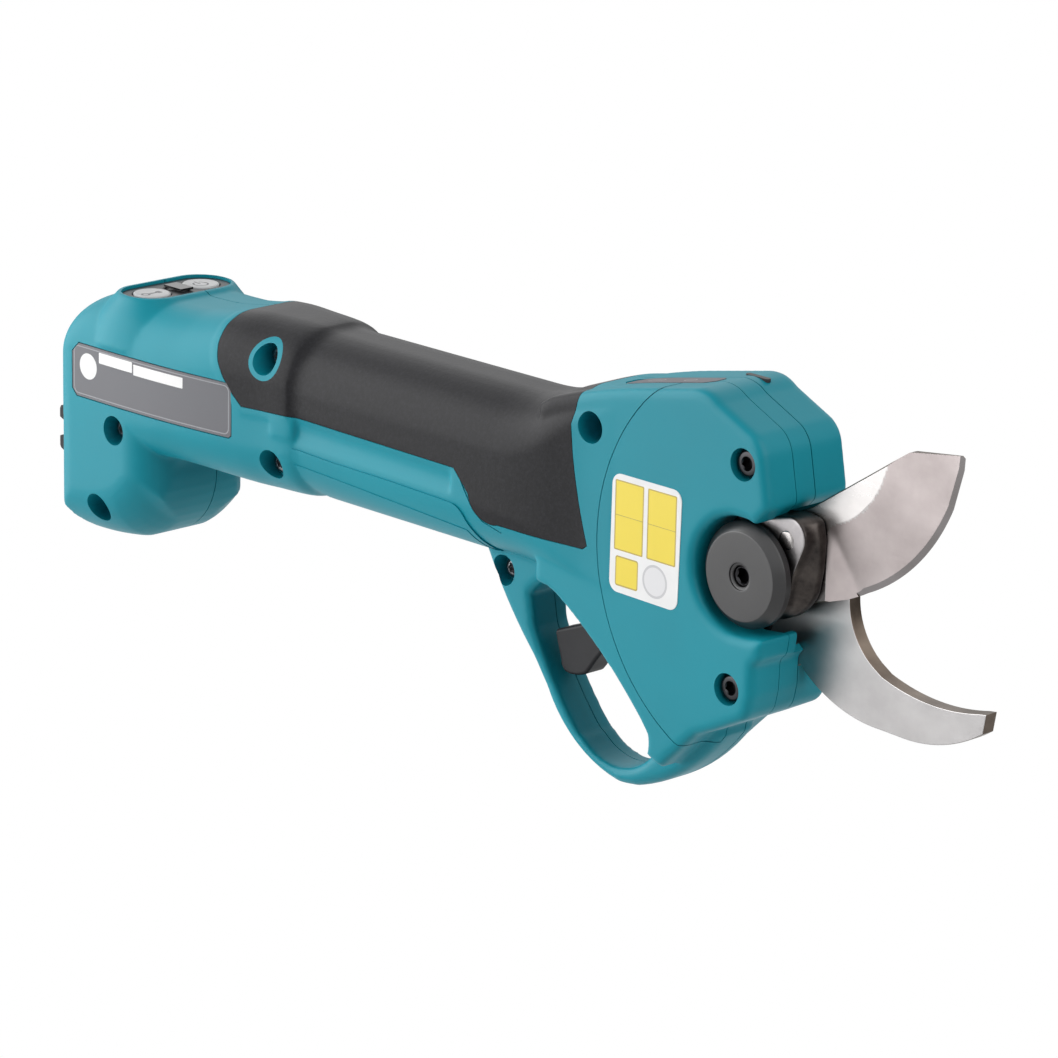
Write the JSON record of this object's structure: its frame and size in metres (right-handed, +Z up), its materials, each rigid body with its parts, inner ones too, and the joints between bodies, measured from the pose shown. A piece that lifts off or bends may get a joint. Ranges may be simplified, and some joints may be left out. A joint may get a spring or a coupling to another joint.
{
  "type": "battery electric pruner",
  "caption": "Hand-held battery pruner: an in-line rubber grip with a slide-on battery seat, a geared head with a driven cutting blade over a fixed hook blade, and a looped trigger guard.",
  "frame": {"origin": "the battery seat's rear face, on the parting plane that the blades pass in, 36 mm above the battery opening's lower edge", "axes": "+X forward along the grip to the blades, +Z up to the button panel, +Y to the far side from the gear cover"},
  "size_m": [0.4157, 0.059, 0.1398],
  "materials": {
    "teal_housing": "fine moulded texture",
    "black_rubber": "matte overmould with fine grain",
    "dark_plate": "satin",
    "white_label": "printed film, blank",
    "black_plastic": "matte",
    "window_black": "glossy",
    "button_grey": "satin",
    "board_green": "satin",
    "chip_black": "matte",
    "indicator_grey": "satin",
    "lens_pale": "glossy",
    "contact_brass": "plain",
    "wire_red": "satin",
    "blade_steel": "polished and ground",
    "forged_steel": "dark forged",
    "plain_steel": "machined",
    "dark_screw": "black oxide",
    "black_cap": "satin black",
    "case_dark": "satin",
    "copper": "enamelled wire"
  },
  "bodies": {
    "tool": {"housing_right": "teal_housing", "housing_left": "teal_housing", "gear_cover": "teal_housing", "grip_rubber_right": "black_rubber", "grip_rubber_left": "black_rubber", "nameplate": "dark_plate", "side_sticker": "white_label", "control_panel": "black_plastic", "display_window": "window_black", "panel_board": "board_green", "button_switches": "chip_black", "indicator_panel": "indicator_grey", "indicator_lens": "lens_pale", "terminal_block": "black_plastic", "battery_contacts": "contact_brass", "controller_board": "chip_black", "wiring": "wire_red", "hook_blade": "blade_steel", "hook_screws": "dark_screw", "pivot_bolt": "plain_steel", "pivot_cap": "black_cap", "pivot_nut": "dark_screw", "pivot_washer": "plain_steel", "pinion_bearings": "plain_steel", "output_bearing": "plain_steel", "gearbox_case": "case_dark", "ring_gear": "plain_steel", "motor_stator": "copper", "motor_can": "case_dark", "motor_bearings": "plain_steel", "trigger_pin": "plain_steel", "trigger_spring": "plain_steel", "trigger_switch": "black_plastic", "housing_screws": "dark_screw", "cover_bolts": "dark_screw"},
    "blade": {"cutting_blade": "blade_steel", "blade_hub": "forged_steel", "hub_pin": "plain_steel", "sector_gear": "plain_steel", "pivot_bush": "contact_brass"},
    "pinion": {"pinion_shaft": "plain_steel", "bevel_gear": "plain_steel"},
    "carrier": {"bevel_pinion": "plain_steel", "planet_carrier": "plain_steel"},
    "planet_a": {"planet_1": "plain_steel"},
    "planet_b": {"planet_2": "plain_steel"},
    "planet_c": {"planet_3": "plain_steel"},
    "rotor": {"motor_rotor": "plain_steel", "sun_gear": "plain_steel"},
    "trigger": {"trigger": "black_plastic"},
    "power": {"power_button": "button_grey"},
    "mode": {"mode_button": "button_grey"}
  },
  "joints": [
    {"name": "blade_hinge", "type": "hinge", "parent": "tool", "child": "blade", "pos_m": [0.319, 0, 0], "axis": [0, 1, 0], "range_deg": [0, 55]},
    {"name": "pinion_spin", "type": "hinge", "parent": "tool", "child": "pinion", "pos_m": [0.28711, 0, 0.0085], "axis": [0, 1, 0], "range_deg": [-150, 3]},
    {"name": "carrier_spin", "type": "hinge", "parent": "tool", "child": "carrier", "pos_m": [0.28711, -0.003, 0.0085], "axis": [1, 0, 0], "range_deg": [-297, 3]},
    {"name": "rotor_spin", "type": "hinge", "parent": "tool", "child": "rotor", "pos_m": [0.2, -0.003, 0.0085], "axis": [1, 0, 0], "range_deg": [-1330, 5]},
    {"name": "planet_a_spin", "type": "hinge", "parent": "carrier", "child": "planet_a", "pos_m": [0.248, -0.003, 0.0166], "axis": [1, 0, 0], "range_deg": [-5, 830]},
    {"name": "planet_b_spin", "type": "hinge", "parent": "carrier", "child": "planet_b", "pos_m": [0.248, 0.00402, 0.00445], "axis": [1, 0, 0], "range_deg": [-5, 830]},
    {"name": "planet_c_spin", "type": "hinge", "parent": "carrier", "child": "planet_c", "pos_m": [0.248, -0.01001, 0.00445], "axis": [1, 0, 0], "range_deg": [-5, 830]},
    {"name": "trigger_hinge", "type": "hinge", "parent": "tool", "child": "trigger", "pos_m": [0.261, -0.00275, -0.026], "axis": [0, 1, 0], "range_deg": [0, 12], "stiffness_Nm_per_rad": 0.2, "springref_deg": -14.32},
    {"name": "power_press", "type": "slide", "parent": "tool", "child": "power", "axis": [0, 0, -1], "range_m": [0, 0.0008], "stiffness_N_per_m": 1000, "springref_m": -0.0005},
    {"name": "mode_press", "type": "slide", "parent": "tool", "child": "mode", "axis": [0, 0, -1], "range_m": [0, 0.0008], "stiffness_N_per_m": 1000, "springref_m": -0.0005}
  ],
  "couplings": [
    {"joint": "pinion_spin", "follows": "blade_hinge", "ratio": -2.6667},
    {"joint": "carrier_spin", "follows": "blade_hinge", "ratio": -5.3333},
    {"joint": "rotor_spin", "follows": "blade_hinge", "ratio": -24},
    {"joint": "planet_a_spin", "follows": "blade_hinge", "ratio": 14.933},
    {"joint": "planet_b_spin", "follows": "blade_hinge", "ratio": 14.933},
    {"joint": "planet_c_spin", "follows": "blade_hinge", "ratio": 14.933}
  ]
}
